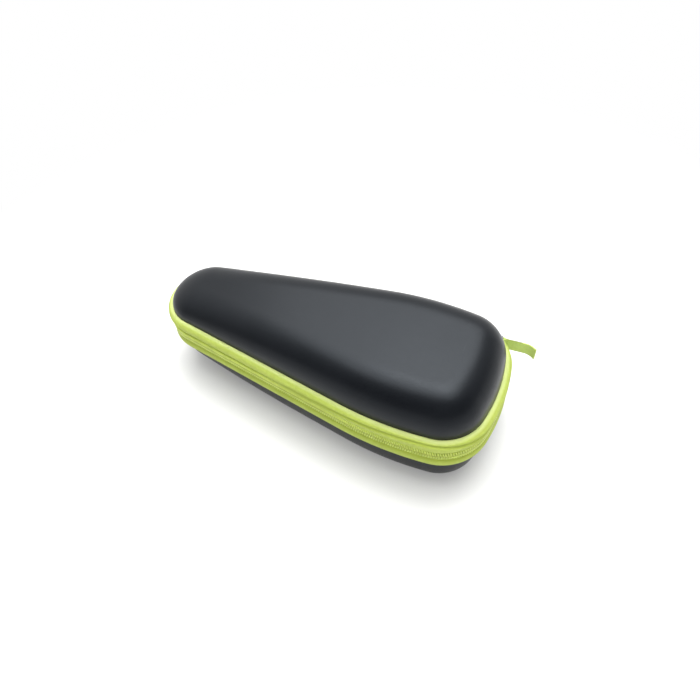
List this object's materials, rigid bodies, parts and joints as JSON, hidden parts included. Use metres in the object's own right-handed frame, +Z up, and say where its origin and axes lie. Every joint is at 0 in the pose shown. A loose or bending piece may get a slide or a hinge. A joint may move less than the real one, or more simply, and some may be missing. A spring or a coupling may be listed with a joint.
{
  "type": "electric shaver hard case",
  "caption": "Teardrop zip-round hard case for an electric shaver: moulded leathercloth halves, lime zip band and ribbon pull, lined inside with strap and mesh pocket.",
  "frame": {"origin": "centre of the case's length and width, on the flat underside that it rests on", "axes": "+X to the wide end, +Y to the hinge side, +Z up"},
  "size_m": [0.2104, 0.0884, 0.064],
  "materials": {
    "leathercloth": "satin black leathercloth with a fine grain",
    "foam_shell": "dense moulded foam, matte",
    "lining": "brushed knit",
    "zip_tape": "woven lime tape",
    "zip_coil": "lime nylon coil",
    "thread": "lime sewing thread",
    "binding": "ribbed black binding tape",
    "zip_metal": "plated zinc",
    "elastic": "ribbed elastic webbing",
    "anchor_patch": "leathercloth patch",
    "mesh": "open knit mesh",
    "dark_thread": "dark sewing thread",
    "ribbon": "lime grosgrain ribbon"
  },
  "bodies": {
    "base": {"lower_skin": "leathercloth", "lower_core": "foam_shell", "lower_lining": "lining", "lower_zip_tape": "zip_tape", "lower_zip_coil": "zip_coil", "lower_seam": "thread", "lower_binding": "binding", "lower_end_stop": "zip_metal", "zip_start_stop": "zip_coil", "strap": "elastic", "strap_anchors": "anchor_patch", "hinge_strip": "zip_tape", "lower_hinge_seam": "thread"},
    "lid": {"upper_skin": "leathercloth", "upper_core": "foam_shell", "upper_lining": "lining", "upper_zip_tape": "zip_tape", "upper_zip_coil": "zip_coil", "upper_seam": "thread", "upper_binding": "binding", "upper_end_stop": "zip_metal", "pocket_mesh": "mesh", "pocket_hem": "elastic", "pocket_seam": "dark_thread", "upper_hinge_seam": "thread"},
    "slider": {"slider": "zip_metal"},
    "link": {"pull_link": "zip_metal"},
    "ribbon": {"pull_ribbon": "ribbon", "pull_stitching": "thread"}
  },
  "joints": [
    {"name": "lid_hinge", "type": "hinge", "parent": "base", "child": "lid", "pos_m": [-0.02616, 0.03326, 0.033], "axis": [-0.9903, -0.1392, 0], "range_deg": [0, 180], "deforming": ["hinge_strip"]},
    {"name": "slider_travel", "type": "hinge", "parent": "base", "child": "slider", "pos_m": [0.07363, 0.01441, 0.033], "axis": [0, 0, 1], "range_deg": [-50, 0]},
    {"name": "link_swing", "type": "hinge", "parent": "slider", "child": "link", "pos_m": [0.08291, 0.04304, 0.033], "axis": [0, 0, 1], "range_deg": [0, 60]},
    {"name": "ribbon_swing", "type": "hinge", "parent": "link", "child": "ribbon", "pos_m": [0.08954, 0.03952, 0.033], "axis": [0, 0, 1], "range_deg": [-8, 15]}
  ]
}
